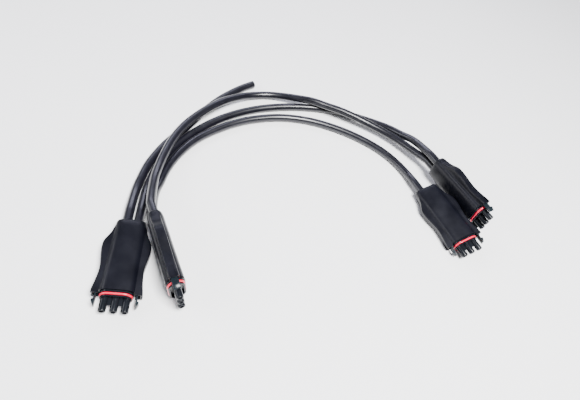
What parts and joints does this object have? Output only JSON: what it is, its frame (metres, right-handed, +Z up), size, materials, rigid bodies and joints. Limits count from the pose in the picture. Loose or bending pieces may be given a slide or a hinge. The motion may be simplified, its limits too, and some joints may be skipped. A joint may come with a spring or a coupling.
{
  "type": "solar inverter cable connector lead",
  "caption": "Daisy-chain AC lead for small solar inverters: flat latching multi-pole connectors with red seals, on one line of round black cable.",
  "frame": {"origin": "on the table, under the middle of the box round the four connectors", "axes": "+Z up; +X from the left-hand pair of connectors to the right-hand pair; the mating sides look roughly along -Y and the cables arch out over +Y"},
  "size_m": [0.3973, 0.2918, 0.0418],
  "materials": {
    "housing": "matt to satin black moulding with a dark charcoal cast",
    "insert": "satin to glossy black moulding",
    "latch": "satin black moulding with a faint blue-green cast",
    "seal": "bright red, slightly glossy",
    "gland": "matt black rubber",
    "contact": "gold-coloured turned contact",
    "joint": "bare copper-coloured sheet, not seen from outside",
    "cable": "black jacket with a soft satin sheen"
  },
  "bodies": {
    "lead": {"plug_1_housing": "housing", "plug_1_insert": "insert", "plug_1_seal": "seal", "plug_1_contact_line": "contact", "plug_1_contact_neutral": "contact", "plug_1_contact_earth": "contact", "plug_1_joint_line": "joint", "plug_1_joint_neutral": "joint", "plug_1_joint_earth": "joint", "plug_1_gland_left": "gland", "plug_1_gland_right": "gland", "plug_2_housing": "housing", "plug_2_insert": "insert", "plug_2_seal": "seal", "plug_2_contact_line": "contact", "plug_2_contact_neutral": "contact", "plug_2_contact_earth": "contact", "plug_2_joint_line": "joint", "plug_2_joint_neutral": "joint", "plug_2_joint_earth": "joint", "plug_2_gland_left": "gland", "plug_2_gland_right": "gland", "plug_3_housing": "housing", "plug_3_insert": "insert", "plug_3_seal": "seal", "plug_3_contact_line": "contact", "plug_3_contact_neutral": "contact", "plug_3_contact_earth": "contact", "plug_3_joint_line": "joint", "plug_3_joint_neutral": "joint", "plug_3_joint_earth": "joint", "plug_3_gland_left": "gland", "plug_3_gland_right": "gland", "plug_4_housing": "housing", "plug_4_insert": "insert", "plug_4_seal": "seal", "plug_4_contact_line": "contact", "plug_4_contact_neutral": "contact", "plug_4_contact_earth": "contact", "plug_4_joint_line": "joint", "plug_4_joint_neutral": "joint", "plug_4_joint_earth": "joint", "plug_4_gland_left": "gland", "plug_4_blanking_plug": "gland", "cable_supply": "cable", "cable_1_2": "cable", "cable_2_3": "cable", "cable_3_4": "cable"},
    "plug_1_latch_left": {"plug_1_latch_left": "latch"},
    "plug_1_latch_right": {"plug_1_latch_right": "latch"},
    "plug_2_latch_left": {"plug_2_latch_left": "latch"},
    "plug_2_latch_right": {"plug_2_latch_right": "latch"},
    "plug_3_latch_left": {"plug_3_latch_left": "latch"},
    "plug_3_latch_right": {"plug_3_latch_right": "latch"},
    "plug_4_latch_left": {"plug_4_latch_left": "latch"},
    "plug_4_latch_right": {"plug_4_latch_right": "latch"}
  },
  "joints": [
    {"name": "plug_1_latch_left_flex", "type": "hinge", "parent": "lead", "child": "plug_1_latch_left", "pos_m": [-0.19127, -0.01389, 0.00974], "axis": [0.0674, -0.0181, 0.9976], "range_deg": [0, 4.5], "stiffness_Nm_per_rad": 0.5},
    {"name": "plug_1_latch_right_flex", "type": "hinge", "parent": "lead", "child": "plug_1_latch_right", "pos_m": [-0.15986, -0.02231, 0.00746], "axis": [-0.0674, 0.0181, -0.9976], "range_deg": [0, 4.5], "stiffness_Nm_per_rad": 0.5},
    {"name": "plug_2_latch_left_flex", "type": "hinge", "parent": "lead", "child": "plug_2_latch_left", "pos_m": [0.18874, -0.0033, 0.00451], "axis": [-0.9776, -0.2078, -0.0349], "range_deg": [0, 4.5], "stiffness_Nm_per_rad": 0.5},
    {"name": "plug_2_latch_right_flex", "type": "hinge", "parent": "lead", "child": "plug_2_latch_right", "pos_m": [0.18763, -0.00354, 0.03709], "axis": [0.9776, 0.2078, 0.0349], "range_deg": [0, 4.5], "stiffness_Nm_per_rad": 0.5},
    {"name": "plug_3_latch_left_flex", "type": "hinge", "parent": "lead", "child": "plug_3_latch_left", "pos_m": [-0.13183, -0.02562, 0.00464], "axis": [-0.9901, -0.1216, -0.0698], "range_deg": [0, 4.5], "stiffness_Nm_per_rad": 0.5},
    {"name": "plug_3_latch_right_flex", "type": "hinge", "parent": "lead", "child": "plug_3_latch_right", "pos_m": [-0.13409, -0.0259, 0.03716], "axis": [0.9901, 0.1216, 0.0698], "range_deg": [0, 4.5], "stiffness_Nm_per_rad": 0.5},
    {"name": "plug_4_latch_left_flex", "type": "hinge", "parent": "lead", "child": "plug_4_latch_left", "pos_m": [0.14649, -0.03037, 0.00568], "axis": [-0.256, -0.0378, 0.9659], "range_deg": [0, 4.5], "stiffness_Nm_per_rad": 0.5},
    {"name": "plug_4_latch_right_flex", "type": "hinge", "parent": "lead", "child": "plug_4_latch_right", "pos_m": [0.17764, -0.02577, 0.01412], "axis": [0.256, 0.0378, -0.9659], "range_deg": [0, 4.5], "stiffness_Nm_per_rad": 0.5}
  ]
}
